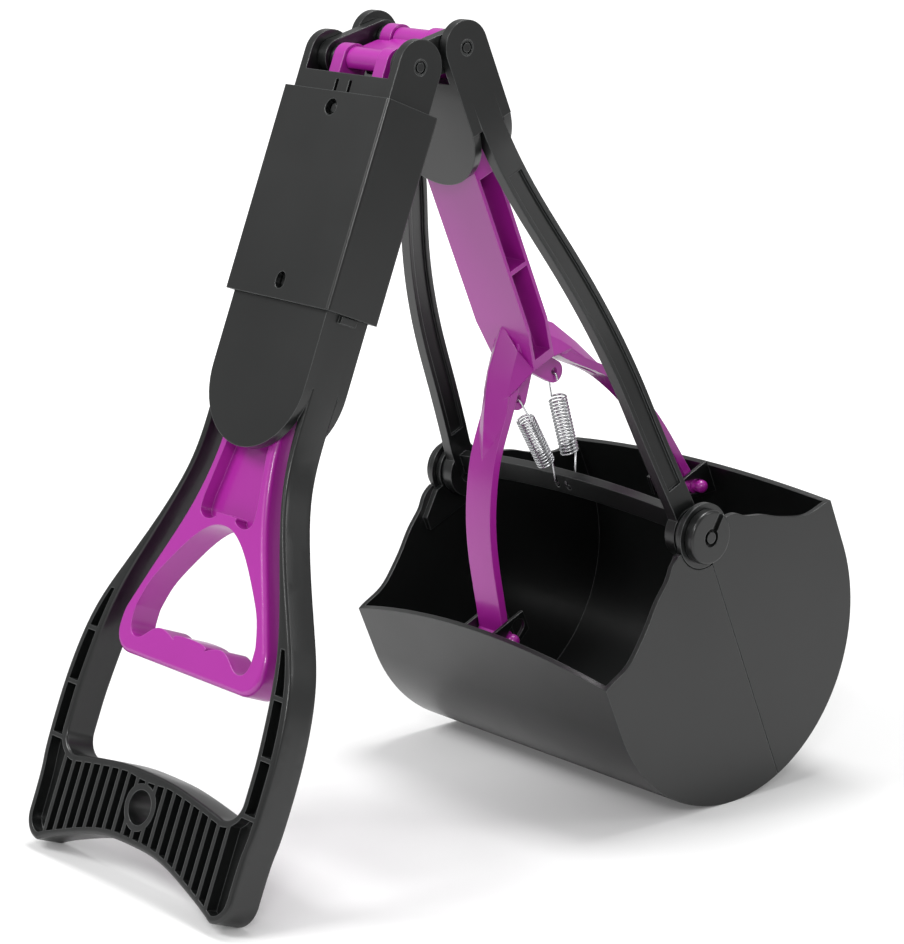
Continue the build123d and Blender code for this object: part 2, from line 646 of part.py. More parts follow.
# Jaw fork: hinge housing and the two long arms that carry the bin
crossbar_crest = CROSSBAR_TOP - CROSSBAR_ARCH
hook_place = crossbar_crest + HOOK_DROP
arm_points = [(a * PIVOT_PLACE, b * PIVOT_HALF_SPAN) for a, b in ARM_OUTER_SHARES]
arm_curve = [(ARM_START, half_housing), *arm_points, (PIVOT_PLACE, PIVOT_HALF_SPAN)]
with BuildSketch() as arm_outline:
    with BuildLine():
        arm_edge = Spline(*arm_curve, tangents=[(1, 0), (1, 0)])
        inner_edge = Spline(*[(u, y - ARM_WALL) for u, y in arm_curve], tangents=[(1, 0), (1, 0)])
        Line(arm_edge @ 0, inner_edge @ 0)
        Line(arm_edge @ 1, inner_edge @ 1)
    make_face()
    mirror(about=Plane.XZ)
with BuildPart() as jaw_fork:
    with BuildSketch(head_face.offset(-ARM_DEPTH / 2)):
        add(arm_outline.sketch)
    extrude(amount=ARM_DEPTH)
    for sign in (1, -1):
        add_ears(head_side, HEAD_WALL_END, sign)
        add_tongue(head_face, HEAD_WINDOW, HEAD_TONGUE_TOP, sign)
        for edge in (ARM_GROOVE / 2, ARM_WALL - ARM_GROOVE / 2):
            with BuildSketch(head_face.offset(-ARM_DEPTH / 2 + ARM_RIM)):
                with BuildLine():
                    groove_curve = [(u, sign * (y - edge)) for u, y in arm_curve]
                    groove = Spline(*groove_curve, tangents=[(1, 0), (1, 0)])
                trace(groove, line_width=ARM_GROOVE)
                strip_between(0, ARM_GROOVE_START, 2 * PIVOT_HALF_SPAN, Mode.SUBTRACT)
                strip_between(ARM_GROOVE_END, PIVOT_PLACE + CUT, 2 * PIVOT_HALF_SPAN + CUT, Mode.SUBTRACT)
            extrude(amount=ARM_DEPTH - 2 * ARM_RIM, mode=Mode.SUBTRACT)
        with BuildSketch(head_side.offset(sign * PIVOT_HALF_SPAN)):
            with Locations((PIVOT_PLACE, 0)):
                Circle(PIVOT_EYE_RADIUS)
        extrude(amount=-sign * ARM_WALL)
    with BuildSketch(head_face.offset(-CROSSBAR_WIDTH / 2)):
        with BuildLine():
            for end in (CROSSBAR_TOP, CROSSBAR_TOP + CROSSBAR_HEIGHT):
                ThreePointArc((end, CROSSBAR_REACH), (end - CROSSBAR_ARCH, 0), (end, -CROSSBAR_REACH))
            for reach in (CROSSBAR_REACH, -CROSSBAR_REACH):
                Line((CROSSBAR_TOP, reach), (CROSSBAR_TOP + CROSSBAR_HEIGHT, reach))
        make_face()
        with Locations((hook_place, HOOK_STEP), (hook_place, -HOOK_STEP)):
            Circle(HOOK_HOLE_RADIUS, mode=Mode.SUBTRACT)
    extrude(amount=CROSSBAR_WIDTH)
    for sign in (1, -1):
        with BuildSketch(head_side.offset(sign * PIVOT_HALF_SPAN)):
            with Locations((PIVOT_PLACE, 0)):
                Circle(SHANK_RADIUS + SEAT_FIT)
        extrude(amount=-sign * ARM_WALL, mode=Mode.SUBTRACT)
finish(jaw_fork, "jaw_fork")

# Bin jaws: two half shells on the same pivot, the front one with its lugs inside the back one's eyes
bottom_drop = sqrt(JAW_RADIUS ** 2 - SEAM_GAP ** 2 / 4)
pad_width = LUG_PAD_REACH - EYE_RADIUS - 2 * EYE_GAP
wave = [
    (PIVOT_PLACE + a * pin_drop, WAVE_FOOT + b * (JAW_RADIUS - WAVE_FOOT)) for a, b in WAVE_SHARES
]
for label, flip, rim_bow in (("front_jaw", 1, FRONT_RIM_BOW), ("back_jaw", -1, BACK_RIM_BOW)):
    jaw_side = Plane(origin=head_hinge, x_dir=head_side.x_dir, z_dir=(0, flip, 0))
    jaw_face = Plane(origin=head_hinge, x_dir=head_side.x_dir, z_dir=head_face.z_dir * flip)
    with BuildPart() as jaw:
        with BuildSketch(jaw_side.offset(-side_outer)):
            with BuildLine():
                Line((PIVOT_PLACE, WAVE_FOOT), (PIVOT_PLACE, SEAM_GAP / 2))
                Line((PIVOT_PLACE, SEAM_GAP / 2), (JAW_CENTRE + bottom_drop, SEAM_GAP / 2))
                RadiusArc((JAW_CENTRE + bottom_drop, SEAM_GAP / 2), (JAW_CENTRE, JAW_RADIUS), -JAW_RADIUS)
                Line((JAW_CENTRE, JAW_RADIUS), (RIM_PLACE, JAW_RADIUS))
                Spline(
                    (RIM_PLACE, JAW_RADIUS),
                    *wave,
                    (PIVOT_PLACE, WAVE_FOOT),
                    tangents=[(-WAVE_RIM_LEAN, -1), (-WAVE_FOOT_LEAN, -1)],
                )
            make_face()
        extrude(amount=2 * side_outer)
        with BuildSketch(jaw_face.offset(JAW_RADIUS - JAW_WALL)):
            with BuildLine():
                ThreePointArc((RIM_PLACE, side_outer), (RIM_PLACE - rim_bow, 0), (RIM_PLACE, -side_outer))
                Line((RIM_PLACE, -side_outer), (JAW_CENTRE, -side_outer))
                Line((JAW_CENTRE, -side_outer), (JAW_CENTRE, side_outer))
                Line((JAW_CENTRE, side_outer), (RIM_PLACE, side_outer))
            make_face()
        extrude(amount=JAW_WALL)
        with BuildSketch(jaw_side.offset(-side_inner)):
            with Locations((JAW_CENTRE, 0)):
                Circle(JAW_RADIUS - JAW_WALL)
                Rectangle(
                    JAW_RADIUS + RIM_PLACE,
                    2 * (JAW_RADIUS - JAW_WALL),
                    align=(Align.MAX, Align.CENTER),
                )
        extrude(amount=2 * side_inner, mode=Mode.SUBTRACT)
        for sign in (1, -1):
            if flip > 0:
                with BuildSketch(jaw_side.offset(sign * side_inner)):
                    with Locations((PIVOT_PLACE, 0)):
                        Circle(EYE_RADIUS + EYE_GAP)
                extrude(amount=sign * JAW_WALL, mode=Mode.SUBTRACT)
                with BuildSketch(jaw_side.offset(sign * lug_inner)):
                    with Locations((PIVOT_PLACE, 0)):
                        Circle(LUG_RADIUS)
                    with Locations((PIVOT_PLACE + LUG_DROP, 0)):
                        Rectangle(LUG_PAD_DROP, LUG_PAD_REACH, align=(Align.MIN, Align.MIN))
                extrude(amount=sign * LUG_WALL)
                with BuildSketch(jaw_side.offset(sign * lug_outer)):
                    with Locations((PIVOT_PLACE + LUG_DROP, LUG_PAD_REACH)):
                        Rectangle(LUG_PAD_DROP, pad_width, align=(Align.MIN, Align.MAX))
                extrude(amount=sign * RUN_GAP)
            else:
                with BuildSketch(jaw_side.offset(sign * side_inner)):
                    with Locations((PIVOT_PLACE, 0)):
                        Circle(EYE_RADIUS)
                extrude(amount=sign * JAW_WALL)
        with BuildSketch(jaw_side.offset(-side_outer)):
            with Locations((PIVOT_PLACE, 0)):
                Circle(hole_radius)
        extrude(amount=2 * side_outer, mode=Mode.SUBTRACT)
        slot_end = (CROSS_PIN_PLACE, CROSS_PIN_OFFSET)
        slot_reach = sqrt(pin_drop ** 2 + CROSS_PIN_OFFSET ** 2)
        slot_short = (CROSS_PIN_OFFSET - SLOT_SLACK) / slot_reach
        slot_start = (PIVOT_PLACE + pin_drop * slot_short, CROSS_PIN_OFFSET * slot_short)
        slot_half = CROSS_PIN_RADIUS + SLOT_PLAY
        bracket_half = slot_half + BRACKET_MARGIN
        for sign in (1, -1):
            with BuildSketch(jaw_side.offset(sign * (WISHBONE_WIDTH / 2 + BRACKET_GAP))):
                with BuildLine():
                    Polyline(
                        (slot_start[0] - bracket_half, JAW_RADIUS - JAW_WALL),
                        (slot_start[0] - bracket_half, slot_start[1] - bracket_half),
                        (slot_start[0] + bracket_half, slot_start[1] - bracket_half),
                        (slot_end[0] + slot_half + bracket_half, JAW_RADIUS - JAW_WALL),
                        close=True,
                    )
                make_face()
                with BuildLine():
                    slot_line = Line(slot_start, slot_end)
                SlotCenterPoint(slot_line @ 0.5, slot_end, 2 * slot_half, mode=Mode.SUBTRACT)
            extrude(amount=sign * BRACKET_WALL)
    finish(jaw, label)

# Pivot washers and buttons
for hand, sign in (("left", 1), ("right", -1)):
    with BuildPart() as pivot_washer:
        with BuildSketch(head_side.offset(sign * washer_inner)):
            with Locations((PIVOT_PLACE, 0)):
                Circle(WASHER_RADIUS)
                Circle(hole_radius, mode=Mode.SUBTRACT)
        extrude(amount=sign * WASHER)
    finish(pivot_washer, "pivot_washer_" + hand)
    with BuildPart() as pivot_button:
        with BuildSketch(head_side.offset(sign * button_inner)):
            with Locations((PIVOT_PLACE, 0)):
                Circle(BUTTON_RADIUS)
        extrude(amount=sign * BUTTON_HEIGHT)
        rim_face = pivot_button.faces().sort_by(Axis((0, 0, 0), (0, sign, 0)))[-1]
        fillet(rim_face.edges(), BUTTON_ROUND)
        with BuildSketch(head_side.offset(sign * button_outer)):
            with Locations((PIVOT_PLACE, 0)):
                Rectangle(BUTTON_RADIUS + CUT, KEY_SLOT, rotation=KEY_TURN, align=(Align.MAX, Align.CENTER))
                Circle(KEY_EYE_RADIUS)
                Circle(KEY_STUD_RADIUS, mode=Mode.SUBTRACT)
        extrude(amount=-sign * KEY_DEPTH, mode=Mode.SUBTRACT)
        with BuildSketch(head_side.offset(sign * (PIVOT_HALF_SPAN - ARM_WALL))):
            with Locations((PIVOT_PLACE, 0)):
                Circle(SHANK_RADIUS)
        extrude(amount=sign * (button_inner - PIVOT_HALF_SPAN + ARM_WALL))
    finish(pivot_button, "pivot_button_" + hand)

# Pull bar: fork, pocketed bar and the wishbone that lifts both jaws
wish_run = CROSS_PIN_PLACE - BAR_END
half_bar = BAR_WIDTH / 2


def wish_place(share):
    """Return the place in the head's side plane at a share of the wishbone's length and half its span."""
    return (BAR_END + share[0] * wish_run, share[1] * CROSS_PIN_OFFSET)


with BuildPart() as pull_bar:
    add_fork(head_side)
    with BuildSketch(head_face.offset(-BAR_DEPTH / 2)):
        with BuildLine():
            Polyline(
                (BAR_START, half_bar),
                (BAR_END, half_bar),
                (BAR_END + BAR_NOSE, BAR_NOSE_HALF_WIDTH),
                (BAR_END + BAR_NOSE, -BAR_NOSE_HALF_WIDTH),
                (BAR_END, -half_bar),
                (BAR_START, -half_bar),
                close=True,
            )
        make_face()
    extrude(amount=BAR_DEPTH)
    with BuildSketch(head_side.offset(-WISHBONE_WIDTH / 2)):
        with BuildLine():
            wish_path = Spline(
                (BAR_END, 0),
                *[wish_place(share) for share in WISHBONE_SHARES],
                (CROSS_PIN_PLACE, CROSS_PIN_OFFSET),
            )
        trace(wish_path, line_width=WISHBONE_WALL)
        with Locations((CROSS_PIN_PLACE, CROSS_PIN_OFFSET)):
            Circle(CROSS_BOSS_RADIUS)
        mirror(about=Plane.XZ)
    extrude(amount=WISHBONE_WIDTH)
    for side in (head_side, Plane(origin=head_side.origin, x_dir=head_side.x_dir, z_dir=(0, -1, 0))):
        with BuildSketch(side):
            with BuildLine():
                Polyline(*[wish_place(share) for share in GUSSET_SHARES + GUSSET_ROOT_SHARES], close=True)
            make_face()
            mirror(about=Plane.XZ)
        extrude(amount=WISHBONE_WIDTH / 2, taper=GUSSET_TAPER)
    for sign in (1, -1):
        with BuildSketch(head_side.offset(sign * half_bar)):
            strip_between(BAR_POCKET_TOP, BAR_POCKET_END, BAR_DEPTH - 2 * BAR_RIM)
            with Locations((BAR_RIB_PLACE, 0)):
                Rectangle(RIB, BAR_DEPTH, mode=Mode.SUBTRACT)
        extrude(amount=-sign * BAR_POCKET_DEPTH, mode=Mode.SUBTRACT)
    with BuildSketch(head_side.offset(-EAR_PLATE / 2)):
        for sign in (1, -1):
            with BuildLine():
                ear_line = Line((EAR_ROOT, 0), (EAR_PLACE, sign * EAR_OFFSET))
            SlotCenterPoint(ear_line @ 0.5, ear_line @ 1, 2 * EAR_RADIUS)
        with Locations((EAR_PLACE, EAR_OFFSET), (EAR_PLACE, -EAR_OFFSET)):
            Circle(EAR_HOLE_RADIUS, mode=Mode.SUBTRACT)
    extrude(amount=EAR_PLATE)
    with BuildSketch(head_side.offset(-CROSS_PIN_HALF_LENGTH)):
        with Locations((CROSS_PIN_PLACE, CROSS_PIN_OFFSET), (CROSS_PIN_PLACE, -CROSS_PIN_OFFSET)):
            Circle(CROSS_PIN_RADIUS)
    extrude(amount=2 * CROSS_PIN_HALF_LENGTH)
    for sign in (1, -1):
        for end in (1, -1):
            ball_place = head_side.from_local_coords(
                (CROSS_PIN_PLACE, sign * CROSS_PIN_OFFSET, end * CROSS_PIN_HALF_LENGTH)
            )
            with Locations(ball_place):
                Sphere(BALL_RADIUS)
finish(pull_bar, "pull_bar")


def add_biarc(first, second):
    """Add to the open line two tangent arcs that join two places, each a point with its direction."""
    (start, heading), (end, ending) = first, second
    chord = end - start
    both = heading + ending
    bend = 2 * (1 - heading.dot(ending))
    reach = (sqrt(chord.dot(both) ** 2 + bend * chord.dot(chord)) - chord.dot(both)) / bend
    joint = (start + end + (heading - ending) * reach) / 2
    TangentArc(start, joint, tangent=heading)
    TangentArc(joint, end, tangent=chord - both * reach)


def spring_marks(top, bottom, coil_start):
    """Return the places a return spring passes, each a point with its direction.

    Both straight ends lie on the round of the coil, parallel with its axis.
    """
    axis = (bottom - top).normalized()
    across = Vector(0, 1, 0)
    third = axis.cross(across)
    marks = []
    for index in range(2 * COIL_TURNS + 1):
        angle = index * pi
        radial = across * cos(angle) + third * sin(angle)
        along = third * cos(angle) - across * sin(angle)
        slope = along * (2 * pi * COIL_RADIUS * COIL_TURNS) + axis * COIL_LENGTH
        rise = coil_start + COIL_LENGTH * index / (2 * COIL_TURNS)
        marks.append((top + axis * rise + radial * COIL_RADIUS, slope.normalized()))
    return axis, marks


# Return springs between the pull bar's ears and the fork's cross bar
spring_gaps = []
for label, flip in (("return_spring_front", 1), ("return_spring_back", -1)):
    ear_end = head_side.from_local_coords((EAR_PLACE + EAR_RADIUS + SPRING_SEAT, flip * EAR_OFFSET, 0))
    bar_out = CROSSBAR_WIDTH / 2 + WIRE / 2 + SPRING_SEAT
    bar_end = head_side.from_local_coords((crossbar_crest - WIRE / 2 - SPRING_SEAT, flip * bar_out, 0))
    axis, marks = spring_marks(ear_end, bar_end, COIL_TOP - EAR_PLACE - EAR_RADIUS)
    first_leg = marks[0][0] - axis * SPRING_BEND - marks[0][1] * SPRING_BEND
    last_leg = marks[-1][0] + axis * SPRING_BEND + marks[-1][1] * SPRING_BEND
    first_end = first_leg - axis * axis.dot(first_leg - ear_end)
    last_end = last_leg + axis * axis.dot(bar_end - last_leg)
    with BuildPart() as spring:
        with BuildLine() as spring_path:
            Line(first_end, first_leg)
            add_biarc((first_leg, axis), marks[0])
            for first, second in zip(marks, marks[1:]):
                add_biarc(first, second)
            add_biarc(marks[-1], (last_leg, axis))
            Line(last_leg, last_end)
        with BuildSketch(Plane(origin=first_end, z_dir=axis)):
            Circle(WIRE / 2)
        sweep(path=spring_path.wire())
    finish(spring, label)
    wire_share = spring.part.volume / (spring_path.wire().length * pi * WIRE ** 2 / 4)
    print(label, "volume over section times length:", round(wire_share, 4))

    samples = []
    for line in spring_path.edges():
        samples += [line @ (step / SAMPLES) for step in range(SAMPLES)]
    apart = int(EDGES_IN_TURN * SAMPLES * SHORT_OF_TURN_SHARE)
    for index, point in enumerate(samples):
        for other in samples[index + apart:]:
            spring_gaps.append((point - other).length - WIRE)
print("least gap of a spring to itself:", round(min(spring_gaps), 3), "mm")
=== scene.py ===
"""Looks of the folding litter scoop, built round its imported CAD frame."""

import json
import logging
import math
from collections.abc import Callable
from dataclasses import dataclass
from enum import Enum, IntEnum

import bpy
from mathutils import Matrix, Vector


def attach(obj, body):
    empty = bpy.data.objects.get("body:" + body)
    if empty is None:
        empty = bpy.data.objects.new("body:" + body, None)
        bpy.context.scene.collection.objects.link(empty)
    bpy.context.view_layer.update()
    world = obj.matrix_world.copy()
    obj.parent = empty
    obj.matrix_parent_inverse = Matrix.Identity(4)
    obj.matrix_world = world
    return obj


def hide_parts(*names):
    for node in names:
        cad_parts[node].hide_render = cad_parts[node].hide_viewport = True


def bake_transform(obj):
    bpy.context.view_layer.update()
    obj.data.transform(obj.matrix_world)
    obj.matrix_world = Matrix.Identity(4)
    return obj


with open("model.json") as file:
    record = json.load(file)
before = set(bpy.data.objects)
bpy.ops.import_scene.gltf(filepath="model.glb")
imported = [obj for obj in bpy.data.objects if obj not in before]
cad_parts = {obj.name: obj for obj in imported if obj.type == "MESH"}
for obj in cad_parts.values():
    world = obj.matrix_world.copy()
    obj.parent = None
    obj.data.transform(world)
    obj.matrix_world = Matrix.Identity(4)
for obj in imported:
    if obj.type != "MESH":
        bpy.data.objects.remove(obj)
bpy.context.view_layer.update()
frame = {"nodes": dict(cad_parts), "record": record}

LOG = logging.getLogger("litter_scoop")
MM = 0.001
PHOTO_WIDTH = 904
PHOTO_HEIGHT = 944
WHITE = (1.0, 1.0, 1.0, 1.0)
WELD = 0.001 * MM
COPY_SMOOTH = 32.0

Triple = tuple[float, float, float]
Settings = dict[str, float | tuple[float, ...]]


class Finish(Enum):
    """The finishes of the scoop's pieces, by the record's material slot."""

    BLACK = "black_plastic"
    PURPLE = "purple_plastic"
    STEEL = "spring_steel"


class Change(Enum):
    """What a block does to the piece that it is combined with."""

    ADD = "UNION"
    CUT = "DIFFERENCE"


class Hand(IntEnum):
    """A side of the scoop, as the sign of y."""

    LEFT = 1
    RIGHT = -1


class Arm(IntEnum):
    """A side of the head's mid plane, as the sign of w."""

    FRONT = 1
    BACK = -1


def deselect() -> None:
    """Deselect every object."""
    bpy.ops.object.select_all(action="DESELECT")


def activate(piece: bpy.types.Object) -> None:
    """Select one piece alone and make it active.

    Args:
        piece: The object that the next operators work on.
    """
    deselect()
    piece.select_set(True)
    bpy.context.view_layer.objects.active = piece


def link_object(name: str, data: bpy.types.ID) -> bpy.types.Object:
    """Put new object data into the scene.

    Args:
        name: The object's name.
        data: Its mesh, curve, camera or light.

    Returns:
        The new object.
    """
    thing = bpy.data.objects.new(name, data)
    bpy.context.scene.collection.objects.link(thing)
    return thing


def edit_mesh(piece: bpy.types.Object, *steps: Callable[[], object]) -> None:
    """Run mesh operators on the whole of one piece.

    Args:
        piece: The piece to edit.
        steps: The operators, in their order.
    """
    activate(piece)
    bpy.ops.object.mode_set(mode="EDIT")
    for step in steps:
        bpy.ops.mesh.select_all(action="SELECT")
        step()
    bpy.ops.object.mode_set(mode="OBJECT")


def weld() -> None:
    """Join the selected vertices that share a place."""
    bpy.ops.mesh.remove_doubles(threshold=WELD)


def face_outward() -> None:
    """Turn the selected faces outward."""
    bpy.ops.mesh.normals_make_consistent(inside=False)


def smooth(piece: bpy.types.Object, degrees: float) -> None:
    """Shade a piece smooth where its faces meet at no more than an angle in degrees."""
    activate(piece)
    bpy.ops.object.shade_smooth_by_angle(angle=math.radians(degrees))


def hull_block(corners: list[Vector]) -> bpy.types.Object:
    """Shape the closed convex block round some corners.

    Args:
        corners: The corners' places.

    Returns:
        The block, with its faces outward.
    """
    deselect()
    bpy.ops.mesh.primitive_circle_add(vertices=len(corners))
    block = bpy.context.object
    for vertex, corner in zip(block.data.vertices, corners):
        vertex.co = corner
    edit_mesh(block, bpy.ops.mesh.convex_hull, face_outward)
    return block


def combine(piece: bpy.types.Object, block: bpy.types.Object, change: Change) -> None:
    """Add a block to a piece or cut it away, and delete the block.

    Args:
        piece: The piece that changes.
        block: The block.
        change: What the block does to the piece.
    """
    activate(piece)
    modifier = piece.modifiers.new("combine", "BOOLEAN")
    modifier.operation = change.value
    modifier.solver = "EXACT"
    modifier.object = block
    bpy.ops.object.modifier_apply(modifier=modifier.name)
    bpy.data.objects.remove(block)


@dataclass(frozen=True)
class Wiring:
    """A node tree, with short ways to add nodes and link them."""

    tree: bpy.types.NodeTree

    @classmethod
    def group(cls, name: str, inputs: dict[str, float], outputs: dict[str, str]) -> "Wiring":
        """Start a node group.

        Args:
            name: The group's name.
            inputs: The value of each input.
            outputs: The socket type of each output.

        Returns:
            The group's wiring, with its sockets and no node.
        """
        tree = bpy.data.node_groups.new(name, "ShaderNodeTree")
        face = tree.interface
        for label, value in inputs.items():
            socket = face.new_socket(label, in_out="INPUT", socket_type="NodeSocketFloat")
            socket.default_value = value
        for label, kind in outputs.items():
            face.new_socket(label, in_out="OUTPUT", socket_type=kind)
        return cls(tree)

    @classmethod
    def material(cls, name: str) -> tuple["Wiring", bpy.types.Material]:
        """Start a material.

        Args:
            name: The material's name.

        Returns:
            Its wiring and the material.
        """
        look = bpy.data.materials.new(name)
        look.use_nodes = True
        return cls(look.node_tree), look

    @property
    def shader(self) -> bpy.types.Node:
        """Return the material's surface shader."""
        return self.tree.nodes["Principled BSDF"]

    def add(self, kind: str, values: Settings | None = None) -> bpy.types.Node:
        """Add one node.

        Args:
            kind: The node's type.
            values: The value of each input that departs from its default.

        Returns:
            The new node.
        """
        node = self.tree.nodes.new(kind)
        for label, value in (values or {}).items():
            node.inputs[label].default_value = value
        return node

    def calculate(self, kind: str, operation: str) -> bpy.types.Node:
        """Add one mathematics node.

        Args:
            kind: The node's type.
            operation: What it calculates.

        Returns:
            The new node.
        """
        node = self.add(kind)
        node.operation = operation
        return node

    def nested(self, tree: bpy.types.NodeTree) -> bpy.types.Node:
        """Add one shared group.

        Args:
            tree: The group.

        Returns:
            The new node.
        """
        node = self.add("ShaderNodeGroup")
        node.node_tree = tree
        return node

    def tint(self, low: Triple | None, high: Triple) -> bpy.types.Node:
        """Add a node that mixes two colours.

        Args:
            low: The colour at 0, or nothing where it is linked.
            high: The colour at 1.

        Returns:
            The new node.
        """
        node = self.add("ShaderNodeMix")
        node.data_type = "RGBA"
        if low is not None:
            node.inputs["A"].default_value = (*low, 1.0)
        node.inputs["B"].default_value = (*high, 1.0)
        return node

    def link(
        self, source: bpy.types.Node, output: str, target: bpy.types.Node, entry: str | int
    ) -> None:
        """Link one node's output to another's input, given by its name or number."""
        self.tree.links.new(source.outputs[output], target.inputs[entry])


@dataclass(frozen=True)
class MouldedGrain:
    """Node group with the faint unevenness of injection moulded plastic."""

    name: str = "moulded_grain"
    grain_scale: float = 420.0
    grain_detail: float = 3.0
    flow_scale: float = 16.0
    flow_detail: float = 2.0
    flow_share: float = 0.9
    smudge_scale: float = 28.0
    smudge_detail: float = 3.0

    def build(self) -> bpy.types.NodeTree:
        """Build the group.

        Returns:
            A group that puts out a height and two values between zero and one.
        """
        inputs = {
            "Grain Scale": self.grain_scale,
            "Flow Scale": self.flow_scale,
            "Flow Share": self.flow_share,
        }
        outputs = dict.fromkeys(("Height", "Flow", "Smudge"), "NodeSocketFloat")
        wires = Wiring.group(self.name, inputs, outputs)
        start = wires.add("NodeGroupInput")
        end = wires.add("NodeGroupOutput")
        place = wires.add("ShaderNodeTexCoord")
        grain = wires.add("ShaderNodeTexNoise", {"Detail": self.grain_detail})
        flow = wires.add("ShaderNodeTexNoise", {"Detail": self.flow_detail})
        blotches = {"Scale": self.smudge_scale, "Detail": self.smudge_detail}
        smudge = wires.add("ShaderNodeTexNoise", blotches)
        mix = wires.add("ShaderNodeMix")
        for texture in (grain, flow, smudge):
            wires.link(place, "Object", texture, "Vector")
        wires.link(start, "Grain Scale", grain, "Scale")
        wires.link(start, "Flow Scale", flow, "Scale")
        wires.link(start, "Flow Share", mix, "Factor")
        wires.link(grain, "Fac", mix, "A")
        wires.link(flow, "Fac", mix, "B")
        wires.link(mix, "Result", end, "Height")
        wires.link(flow, "Fac", end, "Flow")
        wires.link(smudge, "Fac", end, "Smudge")
        return wires.tree


@dataclass(frozen=True)
class EdgeRoundingAndHighlight:
    """Node group that finds outer edges, rounds their normals and masks them for a painted
    highlight.
    """

    name: str = "edge_rounding_and_highlight"
    radius: float = 0.55 * MM
    samples: int = 8
    flat_turn: float = 0.96
    sharp_turn: float = 0.8

    def build(self) -> bpy.types.NodeTree:
        """Build the group.

        Returns:
            A group that puts out a rounded normal and the mask of the painted edge highlight.
        """
        outputs = {"Normal": "NodeSocketVector", "Edge": "NodeSocketFloat"}
        wires = Wiring.group(self.name, {}, outputs)
        end = wires.add("NodeGroupOutput")
        soft = wires.add("ShaderNodeBevel", {"Radius": self.radius})
        soft.samples = self.samples
        plain = wires.add("ShaderNodeNewGeometry")
        turn = wires.calculate("ShaderNodeVectorMath", "DOT_PRODUCT")
        limits = {"From Min": self.flat_turn, "From Max": self.sharp_turn}
        mask = wires.add("ShaderNodeMapRange", limits)
        wires.link(soft, "Normal", turn, 0)
        wires.link(plain, "Normal", turn, 1)
        wires.link(turn, "Value", mask, "Value")
        wires.link(soft, "Normal", end, "Normal")
        wires.link(mask, "Result", end, "Edge")
        return wires.tree


@dataclass(frozen=True)
class Effects:
    """The shared node groups."""

    grain: bpy.types.NodeTree
    edge: bpy.types.NodeTree


@dataclass(frozen=True)
class PlasticLook:
    """One moulded plastic: its colours, painted edge highlight, gloss and surface."""

    name: str
    dark: Triple
    light: Triple
    # Colour painted on outer edges as a highlight, lighter than the plastic.
    painted_edge_highlight: Triple
    coat: float
    rough_low: float = 0.285
    rough_high: float = 0.36
    smudge_low: float = 0.3
    smudge_high: float = 0.7
    bump: float = 0.05
    bump_depth: float = 0.1 * MM
    coat_rough: float = 0.10

    def build(self, effects: Effects) -> bpy.types.Material:
        """Build the material.

        Args:
            effects: The shared node groups.

        Returns:
            The finished material.
        """
        wires, look = Wiring.material(self.name)
        shader = wires.shader
        texture = wires.nested(effects.grain)
        edge = wires.nested(effects.edge)
        colour = wires.tint(self.dark, self.light)
        # The edge mask mixes in the painted edge highlight colour.
        edge_highlighted = wires.tint(None, self.painted_edge_highlight)
        wires.link(texture, "Flow", colour, "Factor")
        wires.link(edge, "Edge", edge_highlighted, "Factor")
        wires.link(colour, "Result", edge_highlighted, "A")
        wires.link(edge_highlighted, "Result", shader, "Base Color")
        limits = {
            "From Min": self.smudge_low,
            "From Max": self.smudge_high,
            "To Min": self.rough_low,
            "To Max": self.rough_high,
        }
        rough = wires.add("ShaderNodeMapRange", limits)
        wires.link(texture, "Smudge", rough, "Value")
        wires.link(rough, "Result", shader, "Roughness")
        bump = wires.add("ShaderNodeBump", {"Strength": self.bump, "Distance": self.bump_depth})
        wires.link(texture, "Height", bump, "Height")
        wires.link(edge, "Normal", bump, "Normal")
        wires.link(bump, "Normal", shader, "Normal")
        shader.inputs["Coat Weight"].default_value = self.coat
        shader.inputs["Coat Roughness"].default_value = self.coat_rough
        return look


@dataclass(frozen=True)
class SteelLook:
    """Bright zinc plated spring wire."""

    name: str = "zinc_wire"
    bright: Triple = (0.80, 0.81, 0.82)
    dull: Triple = (0.60, 0.61, 0.63)
    grain_scale: float = 1800.0
    flow_scale: float = 240.0
    rough_low: float = 0.18
    rough_high: float = 0.36

    def build(self, effects: Effects) -> bpy.types.Material:
        """Build the material.

        Args:
            effects: The shared node groups, whose grain is the plating's unevenness here.

        Returns:
            The finished material.
        """
        wires, look = Wiring.material(self.name)
        shader = wires.shader
        texture = wires.nested(effects.grain)
        texture.inputs["Grain Scale"].default_value = self.grain_scale
        texture.inputs["Flow Scale"].default_value = self.flow_scale
        colour = wires.tint(self.dull, self.bright)
        wires.link(texture, "Flow", colour, "Factor")
        wires.link(colour, "Result", shader, "Base Color")
        shader.inputs["Metallic"].default_value = 1.0
        limits = {"To Min": self.rough_low, "To Max": self.rough_high}
        rough = wires.add("ShaderNodeMapRange", limits)
        wires.link(texture, "Height", rough, "Value")
        wires.link(rough, "Result", shader, "Roughness")
        return look


@dataclass(frozen=True)
class SoftBox:
    """One rectangular lamp."""

    name: str
    place: Triple
    size: tuple[float, float]
    power: float

    def hang(self, aim: Vector) -> None:
        """Hang the lamp.

        Args:
            aim: The point it faces.
        """
        data = bpy.data.lights.new(self.name, "AREA")
        data.shape = "RECTANGLE"
        data.size, data.size_y = self.size
        data.energy = self.power
        lamp = link_object(self.name, data)
        lamp.location = self.place
        lamp.rotation_mode = "QUATERNION"
        lamp.rotation_quaternion = (aim - Vector(self.place)).to_track_quat("-Z", "Y")


